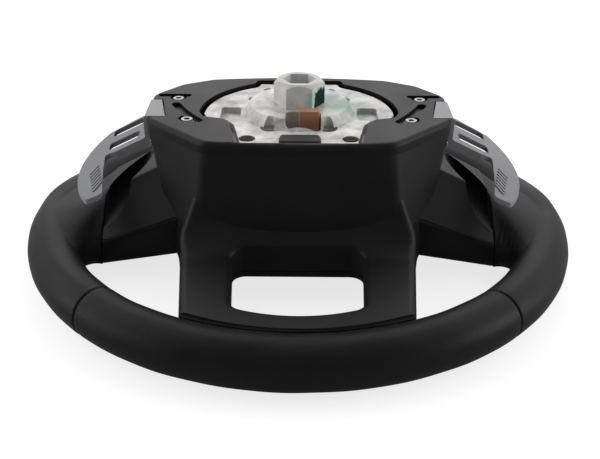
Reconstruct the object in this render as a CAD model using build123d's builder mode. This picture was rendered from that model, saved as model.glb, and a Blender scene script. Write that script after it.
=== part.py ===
from build123d import *
import os
from math import cos, pi, radians, sin

# A car's steering wheel, lying on its rim with its back (the column side) up.
# +Z is the steering axis and points from the driver's face to the column, -Y is six o'clock.
# The driver's left hand is at +X. The origin is on the steering axis, on the plane that the rim rests on.
# Sizes are in millimetres and angles in degrees.

# Rim
rim_diameter = 385
grip_diameter = 34
upper_grip_diameter = 29.4
leather_wall = 1.8
core_diameter = 13
wrap_span = 90
seam_gap = 0.3
seam_round = 0.9
grip_steps = ((-1, 1), (-0.7, 1), (-0.4, 1), (-0.1, 1), (0.16, 1), (0.28, 0.7), (0.44, 0.22),
              (0.67, 0.05), (1, 0))

# Moulded trim: hub, side spokes and lower spokes
wall = 2.5
front_height = 9
hub_height = 105
hub_side = 105
hub_near = 67
hub_far = 71
hub_near_lean = 13
hub_corner_round = 14
hub_edge_round = 3.5
hub_upright = 8
spoke_reach = 41.5
spoke_root = 35
spoke_back_height = 50
spoke_round = 5
scoop_radius = 12
lower_spoke_half_width = 77
lower_spoke_taper = 9.5
lower_spoke_lean = 22
lower_spoke_height = 31
lower_front_height = 18
lower_spoke_sweep = 28
window_half_width = 40
window_margin = 27.5
window_round = 9
window_edge_round = 4
split_height = 44
split_drop = 17
split_gap = 0.4
trim_clearance = 0.6
groove_radius = 2.4
groove_inset = 10.5
groove_lift = 1.5

# Openings in the trim
opening_side = 68.5
opening_near_rim = 5
opening_far_rim = 9
opening_notch = 8
opening_round = 3
pad_side = 75
pad_corner_x = 54
pad_near_rim = 7
pad_far_rim = 7
pad_round = 14
switch_inner_rim = 9
switch_outer_rim = 7
switch_near = -32
switch_far = 27
switch_round = 6

# Cast frame and its hub
plate_thickness = 6
web_thickness = 7
pad_height = 7
pad_radius = 34
insert_across_flats = 30.2
insert_height = 22
socket_across_flats = 20.4
socket_depth = 22
socket_taper = 1.2
bolt_bore_diameter = 13.2
lower_arm_width = 12
lower_arm_depth = 6
lower_arm_x = 53
insert_flange_radius = 19
plate_gap = 3.5
dimple_radius = 4.2
pocket_x = 47
pocket_y = -4
pocket_depth = 4
web_side = 62
web_near_rim = 10
web_far_rim = 19
connector_x = 2.8
connector_y = -28
slot_length = 23.6
slot_width = 17
connector_length = 14
connector_width = 7
module_x = 0.75
module_rim = 14
module_length = 25
module_width = 13

# Shift paddles
paddle_thickness = 3.2
paddle_lean = 12.4
paddle_travel_room = 1.2
hinge_inset = 8
hinge_drop = 8
pin_diameter = 4
knuckle_half = 6
knuckle_y = 1
knuckle_width = 33
knuckle_gap = 1
knuckle_slant = 6.4
pin_clearance = 0.15
spring_y = -8
spring_pitch = 1.6
spring_turns = 3.25
spring_wire = 0.9
spring_room = 10
switch_y = 8
lip_drop = 3
lip_width = 2.6
blade_reach = 29
blade_width = 15.6
blade_drop = 29
blade_tip = 61
rib_count = 7
rib_length = 9.5
rib_width = 1.5
rib_height = 0.7
rib_angle = 118
bracket_depth = 22
bracket_gap = 0.3
screw_diameter = 4.8
screw_head_diameter = 10
screw_head_height = 3.2
screw_seat_depth = 3.6
far_screw_inset = 19
far_screw_y = 22.5
near_screw_rim = 7.2
near_screw_y = -19

# Airbag, which is also the horn pad
pad_gap = 1.2
pad_wall = 3
pad_front_height = 7
tray_room = 43
tray_thickness = 2.5
guide_pin_diameter = 9
guide_pin_x = 33.5
guide_hole_clearance = 1
horn_spring_length = 16
horn_spring_wire = 1.6
inflator_radius = 30
inflator_height = 34

# Thumb switches
switch_gap = 0.4
switch_depth = 14
switch_wall = 1.5
button_proud = 1.2
button_travel = 1.2
button_width = 15
button_length = 12
rocker_width = 15
rocker_length = 42
board_thickness = 1.6

# Derived places
rim_radius = (rim_diameter - grip_diameter) / 2
grip_radius = grip_diameter / 2
upper_grip_radius = upper_grip_diameter / 2
rim_z = grip_radius
spoke_end = rim_radius - spoke_reach
hub_brow = hub_height - hub_upright
bracket_top = hub_height - wall - bracket_gap
plate_top = hub_height - 2
plate_bottom = plate_top - plate_thickness
web_bottom = plate_bottom - web_thickness
hinge_x = hub_side - hinge_inset
hinge_z = hub_height - hinge_drop
knuckle_inner = hinge_x - knuckle_half
knuckle_far = knuckle_y + knuckle_width / 2
arm_far = knuckle_far - 2
arm_near = knuckle_y - knuckle_width / 2
far_screw = (hub_side - far_screw_inset, far_screw_y)
near_screw = (opening_side + near_screw_rim, near_screw_y)
window_near = rim_radius - window_margin
opening_near = hub_near - opening_near_rim
opening_far = hub_far - opening_far_rim
pad_near = hub_near - pad_near_rim
pad_far = hub_far - pad_far_rim
web_near = hub_near - web_near_rim
web_far = hub_far - web_far_rim
switch_inner = pad_side + switch_inner_rim
switch_outer = spoke_end - switch_outer_rim
connector_place = (connector_x, connector_y)
module_place = (module_x, module_rim - hub_near)
lower_arm_z = lower_front_height + wall + lower_arm_depth / 2 + 0.8
blade_inner = hub_side + blade_reach
blade_outer = blade_inner + blade_width
blade_height = hub_height - blade_drop
tray_bottom = web_bottom - tray_room

standing = (Align.CENTER, Align.CENTER, Align.MIN)
hanging = (Align.CENTER, Align.CENTER, Align.MAX)

os.makedirs("parts", exist_ok=True)


def turned(angle):
    """The upright plane through the steering axis, turned from +X."""
    along = (cos(radians(angle)), sin(radians(angle)), 0)
    return Plane(origin=(0, 0, 0), x_dir=along, z_dir=(along[1], -along[0], 0))


def section(plane, points, rounding, inset=0):
    """A rounded polygon on a plane, drawn in by inset all round."""
    with BuildSketch(plane) as outline:
        with BuildLine():
            Polyline(*points, close=True)
        make_face()
        fillet(outline.vertices(), rounding)
        if inset:
            offset(amount=-inset)
    return outline.sketch


def grip_section(angle, outer, inset):
    """The rim's round section at an angle. Its outside rests on the floor, and inset draws it in."""
    with BuildSketch(turned(angle)) as ring:
        with Locations((rim_radius, outer)):
            Circle(outer - inset)
    return ring.sketch


def tube_arc(outer, inset, middle, span):
    """A stretch of the rim's round tube."""
    with BuildPart() as tube:
        add(grip_section(middle - span / 2, outer, inset))
        revolve(axis=Axis.Z, revolution_arc=span)
    return tube.part


def slimming_arc(inset, stop):
    """The left side of the rim, where the grip slims above its spoke to its upper size."""
    sections = []
    for share, thick in grip_steps:
        outer = upper_grip_radius + (grip_radius - upper_grip_radius) * thick
        sections.append(grip_section(share * stop, outer, inset))
    with BuildPart() as tube:
        loft(sections)
    return tube.part


# Trim forms, each drawn in by inset so that the same form makes the outside and the hollow.
def hub_outline(z, inset):
    """The hub's outline at a height: a bowed near edge, cut corners, upright sides and a bowed far edge."""
    low = (hub_brow - z) / (hub_brow - front_height)
    near = hub_near + hub_near_lean * low
    corner_x = hub_side - 43 + 16 * low
    waist = (hub_side - 2 - 20 * low, -20 - 22 * low)
    shoulder = (hub_side - 18, hub_far - 17.5)
    far_x = hub_side - 40
    far_y = hub_far - 5.5
    with BuildSketch(Plane.XY.offset(z)) as outline:
        with BuildLine():
            near_edge = ThreePointArc((-corner_x, 5 - near), (0, -near), (corner_x, 5 - near))
            Polyline(near_edge @ 1, waist, (hub_side, 30), shoulder, (far_x, far_y))
            far_edge = ThreePointArc((far_x, far_y), (0, hub_far), (-far_x, far_y))
            Polyline(far_edge @ 1, (-shoulder[0], shoulder[1]), (-hub_side, 30), (-waist[0], waist[1]),
                     near_edge @ 0)
        make_face()
        fillet(outline.vertices(), hub_corner_round)
        if inset:
            offset(amount=-inset)
    return outline.sketch


def hub_form(inset):
    with BuildPart() as form:
        loft([hub_outline(front_height + inset, inset), hub_outline(hub_brow, inset)], ruled=True)
        extrude(hub_outline(hub_brow, inset), amount=hub_height - inset - hub_brow)
        if not inset:
            fillet(form.faces().sort_by(Axis.Z)[-1].edges(), hub_edge_round)
    return form.part


def spoke_points(at_rim):
    """A side spoke's section (Y, Z): flat back, a slope towards six o'clock and a flat front."""
    if at_rim:
        back = spoke_back_height
        return [(-17, back), (24, back), (40, rim_z + 10), (42, front_height), (-54, front_height),
                (-49, rim_z + 9)]
    back = spoke_back_height + 30
    return [(-12, back), (38, back), (54, rim_z + 28), (56, front_height), (-31, front_height),
            (-50, rim_z + 30)]


def spoke_form(inset, extra=0):
    """The left side spoke, from inside the hub to the leather's edge."""
    with BuildPart() as form:
        inner = section(Plane.YZ.offset(hub_side - spoke_root), spoke_points(False), spoke_round, inset)
        outer = section(Plane.YZ.offset(spoke_end), spoke_points(True), spoke_round, inset)
        loft([inner, outer], ruled=True)
        if extra:
            extrude(form.faces().sort_by(Axis.X)[-1], amount=extra)
    return form.part


def scoop_form(grow):
    """The finger scoop on the left spoke's slope: a spindle, an arc turned about its own chord."""
    start = Vector(spoke_end - 26, 30, spoke_back_height + 15.5)
    stop = Vector(spoke_end, -46, spoke_back_height - 17.5)
    along = (stop - start).normalized()
    half = (stop - start).length / 2
    lie = Plane((start + stop) / 2, x_dir=along, z_dir=along.cross(Vector(0, 0, 1)))
    with BuildPart() as form:
        with BuildSketch(lie):
            with BuildLine():
                bulge = ThreePointArc((-half - grow, 0), (0, scoop_radius + grow), (half + grow, 0))
                Line(bulge @ 1, bulge @ 0)
            make_face()
        revolve(axis=Axis((start + stop) / 2, along))
    return form.part


def lower_form(inset):
    """The two lower spokes as one form: a side profile swept across, trimmed to a slight taper."""
    reach = window_near + inset if inset else rim_radius - 3
    foot = hub_near + 9
    with BuildPart() as form:
        with BuildSketch(Plane.YZ) as profile:
            with BuildLine():
                ramp = FilletPolyline(
                    (10 - hub_near, hub_height - 15),
                    (-foot, lower_spoke_height + 8),
                    (-reach, lower_spoke_height),
                    radius=lower_spoke_sweep + inset,
                )
                Polyline(ramp @ 1, (-reach, lower_front_height), (20 - hub_near, lower_front_height),
                         (20 - hub_near, hub_height - 15), ramp @ 0)
            make_face()
            if inset:
                offset(amount=-inset)
        extrude(amount=lower_spoke_half_width - inset, both=True)
        with BuildSketch(Plane.XY) as plan:
            with BuildLine():
                wide = lower_spoke_half_width - inset
                slim = wide - lower_spoke_taper
                Polyline((wide, 0), (wide, -foot), (slim, -rim_radius), (-slim, -rim_radius),
                         (-wide, -foot), (-wide, 0), close=True)
            make_face()
        extrude(amount=hub_height, mode=Mode.INTERSECT)
        with BuildSketch(Plane.XZ) as upright:
            with BuildLine():
                top = wide - lower_spoke_lean
                Polyline((wide, 0), (wide, split_height), (top, hub_height), (-top, hub_height),
                         (-wide, split_height), (-wide, 0), close=True)
            make_face()
        extrude(amount=rim_diameter, both=True, mode=Mode.INTERSECT)
        if not inset:
            outer_edges = form.edges().filter_by(lambda e: abs(e.center().X) > slim - 4)
            high_edges = [e for e in outer_edges if e.center().Z > lower_spoke_height - 2]
            long_edges = [e for e in high_edges if e.center().Y < -foot + 6]
            fillet([e for e in long_edges if abs(e.tangent_at(0.5).Z) < 0.95], spoke_round)
    return form.part


def window_form(grow):
    """The open window between the two lower spokes."""
    far = hub_near + hub_near_lean + 1
    with BuildPart() as form:
        with BuildSketch(Plane.XY) as outline:
            with BuildLine():
                near_edge = ThreePointArc((-window_half_width, 8 - window_near), (0, -window_near),
                                          (window_half_width, 8 - window_near))
                Polyline(near_edge @ 1, (window_half_width + 3, -far), (-window_half_width - 3, -far),
                         near_edge @ 0)
            make_face()
            fillet(outline.vertices(), window_round)
            if grow:
                offset(amount=grow)
        extrude(amount=hub_height)
    return form.part


def front_slope(grow):
    """What is cut off the driver's side towards six o'clock, so that the hub's front slopes back."""
    with BuildPart() as form:
        with BuildSketch(Plane.YZ) as profile:
            with BuildLine():
                Polyline((5 - hub_near, front_height), (-hub_near - hub_near_lean, lower_front_height),
                         (-rim_diameter, lower_front_height), (-rim_diameter, -hub_height),
                         (5 - hub_near, -hub_height), close=True)
            make_face()
            if grow:
                offset(amount=grow)
        extrude(amount=rim_diameter, both=True)
    return form.part


# The pieces of the trim that are cut out of the forms above.
def back_opening(inset):
    """The opening in the cover's flat back, over the cast frame."""
    with BuildSketch(Plane.XY.offset(web_bottom)) as outline:
        with BuildLine():
            notch_x = opening_side - 35.5
            notch_y = opening_far - opening_notch
            far_side = ThreePointArc((opening_side, -6), (opening_side - 14, 36), (notch_x, notch_y))
            Polyline(far_side @ 1, (notch_x - 2, opening_far), (2 - notch_x, opening_far),
                     (-notch_x, notch_y))
            other_side = ThreePointArc((-notch_x, notch_y), (14 - opening_side, 36), (-opening_side, -6))
            Polyline(other_side @ 1, (3.5 - opening_side, -15.5), (17 - opening_side, -19),
                     (21.7 - opening_side, -27), (28 - opening_side, -opening_near),
                     (opening_side - 28, -opening_near), (opening_side - 21.7, -27),
                     (opening_side - 17, -19), (opening_side - 3.5, -15.5), far_side @ 0)
        make_face()
        fillet(outline.vertices(), opening_round)
        if inset:
            offset(amount=-inset)
    return outline.sketch


def pad_outline(z, inset):
    """The airbag cover's outline on the driver's side."""
    with BuildSketch(Plane.XY.offset(z)) as outline:
        with BuildLine():
            near_edge = ThreePointArc((-pad_corner_x, 5 - pad_near), (0, -pad_near),
                                      (pad_corner_x, 5 - pad_near))
            Polyline(near_edge @ 1, (pad_side, -12), (pad_side, 26), (pad_corner_x, pad_far - 8))
            far_edge = ThreePointArc((pad_corner_x, pad_far - 8), (0, pad_far), (-pad_corner_x, pad_far - 8))
            Polyline(far_edge @ 1, (-pad_side, 26), (-pad_side, -12), near_edge @ 0)
        make_face()
        fillet(outline.vertices(), pad_round)
        if inset:
            offset(amount=-inset)
    return outline.sketch


def switch_outline(z, inset):
    """The left switch pack's outline on the driver's side."""
    points = [(switch_inner, switch_near), (switch_outer, switch_near - 5), (switch_outer, switch_far - 6),
              (switch_inner, switch_far)]
    return section(Plane.XY.offset(z), points, switch_round, inset)


def front_side(lift):
    """Everything on the driver's side of the split line, moved up by lift."""
    with BuildPart() as region:
        with BuildSketch(Plane.XZ.offset(-rim_radius)):
            with BuildLine():
                low = split_height - split_drop
                Polyline((rim_diameter, -1), (rim_diameter, low + lift), (spoke_end - 6, low + lift),
                         (hub_side - 21, split_height + lift), (21 - hub_side, split_height + lift),
                         (6 - spoke_end, low + lift), (-rim_diameter, low + lift), (-rim_diameter, -1),
                         close=True)
            make_face()
        extrude(amount=rim_radius + hub_near - 5)
        with Locations((0, 5 - hub_near, 0)):
            Box(2 * lower_spoke_half_width + 8, 2 * rim_radius, lower_front_height + 4 + lift,
                align=(Align.CENTER, Align.MAX, Align.MIN))
    return region.part


hub_outside = hub_form(0)
hub_inside = hub_form(wall)
spoke_outside = spoke_form(0)
spoke_inside = spoke_form(wall, spoke_reach)
lower_outside = lower_form(0)
lower_inside = lower_form(wall)
window_cut = window_form(0)
window_block = window_form(wall)
scoop_cut = scoop_form(0)
scoop_block = scoop_form(wall)
rim_room = tube_arc(grip_radius, -trim_clearance, -90, 360)
with BuildPart() as groove:
    with BuildSketch(turned(-135)):
        with Locations((rim_radius - groove_inset, lower_spoke_height + groove_lift)):
            Circle(groove_radius)
    revolve(axis=Axis.Z, revolution_arc=90)
rim_groove = groove.part
slope_cut = front_slope(0)
slope_block = front_slope(wall)


def window_edges(form):
    """The window's edges on the back of the lower spokes."""
    high = [e for e in form.edges() if e.center().Z > lower_spoke_height - 3]
    inside = [e for e in high if abs(e.center().X) < window_half_width + 3.5]
    return [e for e in inside if -window_near - 1 < e.center().Y < -hub_near - hub_near_lean + 2]


with BuildPart() as trim_outside:
    add(hub_outside)
    add(spoke_outside)
    mirror(spoke_outside, about=Plane.YZ)
    add(lower_outside)
    add(slope_cut, mode=Mode.SUBTRACT)
    add(window_cut, mode=Mode.SUBTRACT)
    fillet(window_edges(trim_outside), window_edge_round)
    add(scoop_cut, mode=Mode.SUBTRACT)
    mirror(scoop_cut, about=Plane.YZ, mode=Mode.SUBTRACT)
    add(rim_room, mode=Mode.SUBTRACT)
    add(rim_groove, mode=Mode.SUBTRACT)
    with Locations((lower_arm_x, -rim_radius, lower_arm_z), (-lower_arm_x, -rim_radius, lower_arm_z)):
        Box(lower_arm_width + 2 * trim_clearance, 2 * (window_margin + 2),
            lower_arm_depth + 2 * trim_clearance, mode=Mode.SUBTRACT)

with BuildPart() as trim_hollow:
    add(hub_inside)
    add(spoke_inside)
    mirror(spoke_inside, about=Plane.YZ)
    add(lower_inside)
    add(slope_block, mode=Mode.SUBTRACT)
    add(window_block, mode=Mode.SUBTRACT)
    add(scoop_block, mode=Mode.SUBTRACT)
    mirror(scoop_block, about=Plane.YZ, mode=Mode.SUBTRACT)

# Slots in the cover's flat back round the paddle's knuckle and the two bracket screws, on the left.
with BuildSketch(Plane.XY.offset(hub_height - bracket_depth)) as paddle_slots:
    with BuildLine():
        Polyline((knuckle_inner - knuckle_gap, arm_near - knuckle_gap),
                 (hub_side + 8, arm_near - knuckle_gap), (hub_side + 8, knuckle_far + knuckle_gap),
                 (knuckle_inner + knuckle_slant - knuckle_gap, knuckle_far + knuckle_gap), close=True)
    make_face()
    with Locations((far_screw[0] + 3, far_screw[1] + 4.5)):
        SlotOverall(24, 6)
    with Locations(far_screw, near_screw):
        Circle(screw_head_diameter / 2 + 0.8)
    with BuildLine():
        diagonal = ThreePointArc((far_screw[0], far_screw[1] - 14), (near_screw[0] + 1, near_screw[1] + 9),
                                 (near_screw[0] - 8, near_screw[1] - 4))
    SlotArc(diagonal, 6.5)
with BuildPart() as slot_cut:
    extrude(paddle_slots.sketch, amount=bracket_depth + 1)

front_lifted = front_side(split_gap)
front_low = front_side(0)
with BuildPart() as trim_shell:
    add(trim_outside.part)
    add(trim_hollow.part, mode=Mode.SUBTRACT)
with BuildPart() as back_cover:
    add(trim_shell.part)
    add(front_lifted, mode=Mode.SUBTRACT)
    extrude(back_opening(0), amount=hub_height, mode=Mode.SUBTRACT)
    add(slot_cut.part, mode=Mode.SUBTRACT)
    mirror(slot_cut.part, about=Plane.YZ, mode=Mode.SUBTRACT)

with BuildPart() as switch_hole:
    extrude(switch_outline(0, 0), amount=front_height + 2 * wall)
with BuildPart() as front_bezel:
    add(trim_shell.part)
    add(front_low, mode=Mode.INTERSECT)
    extrude(pad_outline(0, 0), amount=front_height + 2 * wall, mode=Mode.SUBTRACT)
    add(switch_hole.part, mode=Mode.SUBTRACT)
    mirror(switch_hole.part, about=Plane.YZ, mode=Mode.SUBTRACT)

# The hexagonal boss that takes the column: a flanged hexagon with a tapered hexagonal socket and a bolt bore.
insert_top = hub_height + insert_height
corner_radius = insert_across_flats / 2 / cos(radians(30))
with BuildPart() as insert_blank:
    with BuildSketch(Plane.XY.offset(plate_bottom)):
        RegularPolygon(insert_across_flats / 2, 6, major_radius=False)
    extrude(amount=insert_top - plate_bottom)
    with BuildSketch(Plane.XZ):
        with BuildLine():
            Polyline((0, plate_bottom), (corner_radius + 1, plate_bottom),
                     (corner_radius + 1, insert_top - 4), (insert_across_flats / 2 - 0.6, insert_top),
                     (0, insert_top), close=True)
        make_face()
    revolve(axis=Axis.Z, mode=Mode.INTERSECT)
    with BuildSketch(Plane.XY.offset(plate_bottom)):
        Circle(insert_flange_radius)
    extrude(amount=plate_thickness)
with BuildPart() as hub_insert:
    add(insert_blank.part)
    with BuildSketch(Plane.XY.offset(insert_top)):
        RegularPolygon(socket_across_flats / 2, 6, major_radius=False)
    with BuildSketch(Plane.XY.offset(insert_top - socket_depth)):
        RegularPolygon((socket_across_flats - socket_taper) / 2, 6, major_radius=False)
    loft(mode=Mode.SUBTRACT)
    with BuildSketch(Plane.XY.offset(plate_bottom)):
        Circle(bolt_bore_diameter / 2)
    extrude(amount=plate_thickness * 2, mode=Mode.SUBTRACT)

# The cast frame: rim ring, hub plate on a wider web, raised pad, two side arms and two lower arms.
arm_stations = (
    (40, 0, web_bottom, 44, 10),
    (near_screw[0] - 3, 2, hub_height - 37, 54, 9),
    (hub_side + 8, 12, spoke_back_height - 18.5, 24, 8),
    (switch_outer + 3, 8, spoke_back_height - 19.5, 24, 8),
    (spoke_end + 14, 4, rim_z + 7, 24, 9),
    (rim_radius, 0, rim_z, 22, 9),
)
with BuildPart() as side_arm:
    for x, y, z, width, depth in arm_stations:
        with BuildSketch(Plane.YZ.offset(x)):
            with Locations((y, z)):
                RectangleRounded(width, depth, 3)
    loft(ruled=True)
    with Locations((*far_screw, hub_height - bracket_depth), (*near_screw, hub_height - bracket_depth)):
        Cylinder(screw_diameter + 0.6, bracket_depth, align=hanging)

with BuildPart() as lower_arm:
    with BuildSketch(Plane.YZ.offset(lower_arm_x - lower_arm_width / 2)):
        with BuildLine():
            FilletPolyline((-36, web_bottom + 2), (-hub_near + 10.5, web_bottom + 2),
                           (-hub_near + 2.5, split_height - 2), (-hub_near - 9, lower_arm_z),
                           (-rim_radius + 4, lower_arm_z), radius=7)
        trace(line_width=lower_arm_depth)
    extrude(amount=lower_arm_width)

ring_core = tube_arc(grip_radius, grip_radius - core_diameter / 2, -90, 360)
dimples = ((19.4, -31), (-19.4, -31))
guide_pins = ((-guide_pin_x, 17 - hub_near), (guide_pin_x, 17 - hub_near), (0, hub_far - 23))
with BuildPart() as armature:
    add(ring_core)
    add(side_arm.part)
    mirror(side_arm.part, about=Plane.YZ)
    add(lower_arm.part)
    mirror(lower_arm.part, about=Plane.YZ)
    extrude(back_opening(plate_gap), amount=plate_top - web_bottom)
    with BuildSketch(Plane.XY.offset(web_bottom)) as web:
        RectangleRounded(2 * web_side, web_near + web_far, 20)
    extrude(amount=web_thickness)
    with Locations((0, 0, plate_top)):
        Cone(pad_radius + 4, pad_radius, pad_height, align=standing)
    add(insert_blank.part, mode=Mode.SUBTRACT)
    with Locations((0, 0, web_bottom)):
        Cylinder(insert_flange_radius - 3, web_thickness, align=standing,
                 mode=Mode.SUBTRACT)
    with BuildSketch(Plane.XY.offset(web_bottom)):
        with Locations(*guide_pins):
            Circle(guide_pin_diameter / 2 + guide_hole_clearance)
        with Locations((31.5, 26), (-31.5, 26)):
            Circle(5)
        with Locations((23, 46), (-23, 46)):
            Circle(3.4)
        with Locations(*dimples):
            Circle(dimple_radius)
        with Locations(connector_place):
            RectangleRounded(slot_length, slot_width, 3)
        with Locations((module_place[0], module_place[1] - 10)):
            RectangleRounded(module_length + 2, module_width + 20, 3)
    extrude(amount=plate_top + pad_height, mode=Mode.SUBTRACT)
    with Locations(*[(x, y, plate_top) for x, y in dimples]):
        Cone(dimple_radius, dimple_radius + 2.4, 3, align=hanging, mode=Mode.SUBTRACT)
    with BuildSketch(Plane.XY.offset(plate_top)):
        for side in (1, -1):
            with Locations((side * pocket_x, pocket_y)):
                RectangleRounded(14, 24, 3)
    extrude(amount=-pocket_depth, mode=Mode.SUBTRACT)
    with Locations((*far_screw, 0), (-far_screw[0], far_screw[1], 0), (*near_screw, 0),
                   (-near_screw[0], near_screw[1], 0)):
        Cylinder(screw_diameter / 2, hub_height, align=standing, mode=Mode.SUBTRACT)

# Rim foam and the four leather wraps. The side wraps flare onto the spokes.
rim_side = [(-50, rim_z + 12), (34, rim_z + 11), (44, rim_z), (42, rim_z - 12), (-64, rim_z - 12),
            (-67, rim_z)]
flare_middle = [(-25, rim_z + 20), (24, rim_z + 20), (38, rim_z + 5), (41, rim_z - 10), (-60, rim_z - 10),
                (-57, rim_z + 4)]


def flare_form(inset):
    with BuildPart() as form:
        inner = section(Plane.YZ.offset(spoke_end + seam_gap), spoke_points(True), spoke_round, inset)
        middle = section(Plane.YZ.offset(spoke_end + 16), flare_middle, spoke_round, inset)
        outer = section(Plane.YZ.offset(rim_radius - 9), rim_side, spoke_round, inset)
        loft([inner, middle, outer])
    return form.part


half_wrap = wrap_span / 2
other_span = 180 - wrap_span
lower_foam = tube_arc(grip_radius, leather_wall, -90, other_span)
side_foam = slimming_arc(leather_wall, half_wrap)
upper_foam = tube_arc(upper_grip_radius, leather_wall, 90, other_span)
flare_outside = flare_form(0)
flare_inside = flare_form(leather_wall)
with BuildPart() as rim_foam:
    add(lower_foam)
    add(side_foam)
    mirror(side_foam, about=Plane.YZ)
    add(upper_foam)
    add(flare_inside)
    mirror(flare_inside, about=Plane.YZ)
    add(armature.part, mode=Mode.SUBTRACT)

seam_angle = seam_gap / rim_radius * 180 / pi


def wrap_end_edges(part, radius):
    return [e for e in part.edges().filter_by(GeomType.CIRCLE) if abs(e.radius - radius) < 0.01]


upper_outside = tube_arc(upper_grip_radius, 0, 90, other_span - seam_angle)
with BuildPart() as leather_upper:
    add(upper_outside)
    add(upper_foam, mode=Mode.SUBTRACT)
    fillet(wrap_end_edges(leather_upper, upper_grip_radius), seam_round)

lower_wrap = tube_arc(grip_radius, 0, -90, other_span - seam_angle)
with BuildPart() as leather_lower:
    add(lower_wrap)
    add(lower_foam, mode=Mode.SUBTRACT)
    fillet(wrap_end_edges(leather_lower, grip_radius), seam_round)
    arm_mouth = 18 - rim_radius
    with Locations((lower_arm_x, arm_mouth, lower_arm_z), (-lower_arm_x, arm_mouth, lower_arm_z)):
        Box(lower_arm_width + 1, 24, lower_arm_depth + 1, mode=Mode.SUBTRACT)

side_outside = slimming_arc(0, half_wrap - seam_angle / 2)
with BuildPart() as leather_left:
    add(side_outside)
    add(flare_outside)
    add(side_foam, mode=Mode.SUBTRACT)
    add(flare_inside, mode=Mode.SUBTRACT)

# Left shift paddle: a bent strip trimmed to its plan, with ribs and a lip, on a knuckle that turns on a pin.
lean = radians(paddle_lean)
spring_pocket = spring_turns * spring_pitch + spring_wire + 2
paddle_plane = Plane(origin=(0, 0, 0), x_dir=(1, 0, 0), z_dir=(0, -cos(lean), -sin(lean)))
blade_bends = (
    (hub_side - 3.5, hub_height - 5),
    (hub_side - 0.5, hub_height - 13.8),
    (blade_inner - 2, blade_height + 1.5),
    (blade_outer + 4, blade_height - 6),
)


def paddle_strip(thickness, drop=0):
    """The paddle's bent strip, endless along its lean and lowered by drop."""
    with BuildPart() as strip:
        with BuildSketch(paddle_plane):
            with BuildLine():
                FilletPolyline(*[(x, (z - drop) * cos(lean)) for x, z in blade_bends], radius=4)
            trace(line_width=thickness)
        extrude(amount=rim_radius, both=True)
    return strip.part


with BuildSketch() as paddle_plan:
    with BuildLine():
        outer_edge = ThreePointArc((blade_inner, arm_far - 2), (blade_outer, -17),
                                   (blade_inner + 5, -blade_tip))
        Polyline(outer_edge @ 1, (blade_inner - 6, 1 - blade_tip))
        inner_edge = ThreePointArc((blade_inner - 6, 1 - blade_tip), (blade_inner - 2, -36),
                                   (blade_inner, arm_near + 2))
        Polyline(inner_edge @ 1, (blade_inner - 8, arm_near), (hub_side - 6, arm_near),
                 (hub_side - 6, arm_far), (hub_side + 9, arm_far), outer_edge @ 0)
    make_face()
    fillet(paddle_plan.vertices().filter_by_position(Axis.X, blade_inner - 10, blade_outer), 2.5)
    with Locations((blade_inner - 12.5, arm_near + 9.5), (blade_inner - 13.5, arm_far - 6)):
        RectangleRounded(blade_inner - hub_side - 7, 8, 2.5, mode=Mode.SUBTRACT)
rib_start = Vector(blade_inner + 5.3, -29)
rib_stop = Vector(blade_inner - 0.5, -50)
with BuildSketch() as rib_plan:
    for step in range(rib_count):
        spot = rib_start + (rib_stop - rib_start) * (step / (rib_count - 1))
        with Locations(Location(spot, (0, 0, rib_angle))):
            SlotOverall(rib_length, rib_width)

plain_strip = paddle_strip(paddle_thickness)
thick_strip = paddle_strip(paddle_thickness + 2 * rib_height)
with BuildPart() as paddle_ribs:
    add(thick_strip)
    extrude(rib_plan.sketch, amount=hub_height, mode=Mode.INTERSECT)
with BuildPart() as paddle_lip:
    add(paddle_strip(paddle_thickness, lip_drop))
    with Locations((hub_side - 4, arm_near, 0)):
        Box(blade_reach - 5, lip_width, 2 * hub_height, align=(Align.MIN, Align.MIN, Align.CENTER),
            mode=Mode.INTERSECT)
with BuildPart() as paddle_left:
    add(plain_strip)
    extrude(paddle_plan.sketch, amount=hub_height, mode=Mode.INTERSECT)
    add(paddle_ribs.part)
    add(paddle_lip.part)
    knuckle_length = hub_side + 0.5 - hinge_x + knuckle_half
    with Locations((hinge_x - knuckle_half + knuckle_length / 2, knuckle_y, hinge_z - knuckle_half)):
        Box(knuckle_length, knuckle_width, hinge_drop + knuckle_half, align=standing)
    fillet(paddle_left.edges().filter_by(Axis.Y).sort_by(Axis.Z)[-1:], 2)
    with BuildSketch(Plane.XY.offset(bracket_top - knuckle_gap)):
        with BuildLine():
            Polyline((knuckle_inner - 1, arm_near - 1), (knuckle_inner, arm_near - 1),
                     (knuckle_inner + knuckle_slant, knuckle_far + 1), (knuckle_inner - 1, knuckle_far + 1),
                     close=True)
        make_face()
    extrude(amount=hinge_drop, mode=Mode.SUBTRACT)
    with Locations(Location((hinge_x, knuckle_y, hinge_z), (90, 0, 0))):
        Cylinder(pin_diameter / 2 + pin_clearance, knuckle_width + 2, mode=Mode.SUBTRACT)
    with Locations((hinge_x, spring_y, hinge_z)):
        Cylinder(spring_room / 2, spring_pocket, rotation=(90, 0, 0), mode=Mode.SUBTRACT)
        Box(spring_room, spring_pocket, hinge_drop + knuckle_half,
            align=hanging, mode=Mode.SUBTRACT)

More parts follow.
